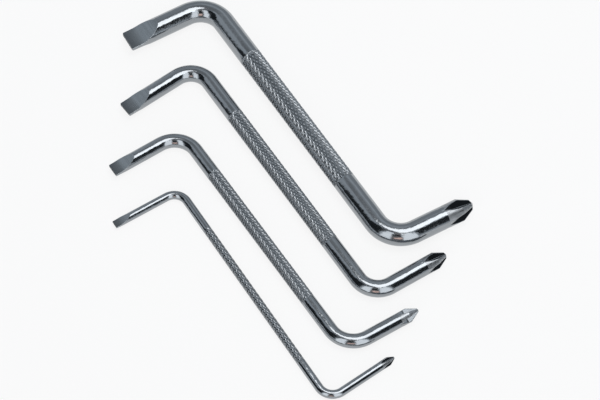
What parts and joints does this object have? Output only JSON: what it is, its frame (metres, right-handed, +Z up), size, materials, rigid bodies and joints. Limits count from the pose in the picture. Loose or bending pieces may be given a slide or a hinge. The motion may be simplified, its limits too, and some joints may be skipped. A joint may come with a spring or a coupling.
{
  "type": "offset screwdriver set",
  "caption": "Set of Z-shaped offset screwdrivers, each one bent steel bar with a slotted blade on one arm, a cross point on the other and a knurled shank.",
  "frame": {"origin": "Middle of the set's outline on the table, with the four drivers lying flat", "axes": "+X along the shanks from the slotted arms to the cross arms, +Y the way the cross arms point, +Z up from the table"},
  "size_m": [0.16, 0.106, 0.008],
  "materials": {
    "plated_steel": "bright nickel-chrome plate on bent steel bar, diamond knurl on the shanks, satin ground blades"
  },
  "bodies": {
    "large_driver": {"driver_8mm": "plated_steel"},
    "medium_driver": {"driver_6mm": "plated_steel"},
    "small_driver": {"driver_5mm": "plated_steel"},
    "mini_driver": {"driver_3mm": "plated_steel"}
  },
  "joints": [
    {"name": "medium_lift", "type": "slide", "parent": "large_driver", "child": "medium_driver", "axis": [0, 0, 1], "range_m": [0, 0.06]},
    {"name": "small_lift", "type": "slide", "parent": "large_driver", "child": "small_driver", "axis": [0, 0, 1], "range_m": [0, 0.06]},
    {"name": "mini_lift", "type": "slide", "parent": "large_driver", "child": "mini_driver", "axis": [0, 0, 1], "range_m": [0, 0.06]}
  ]
}
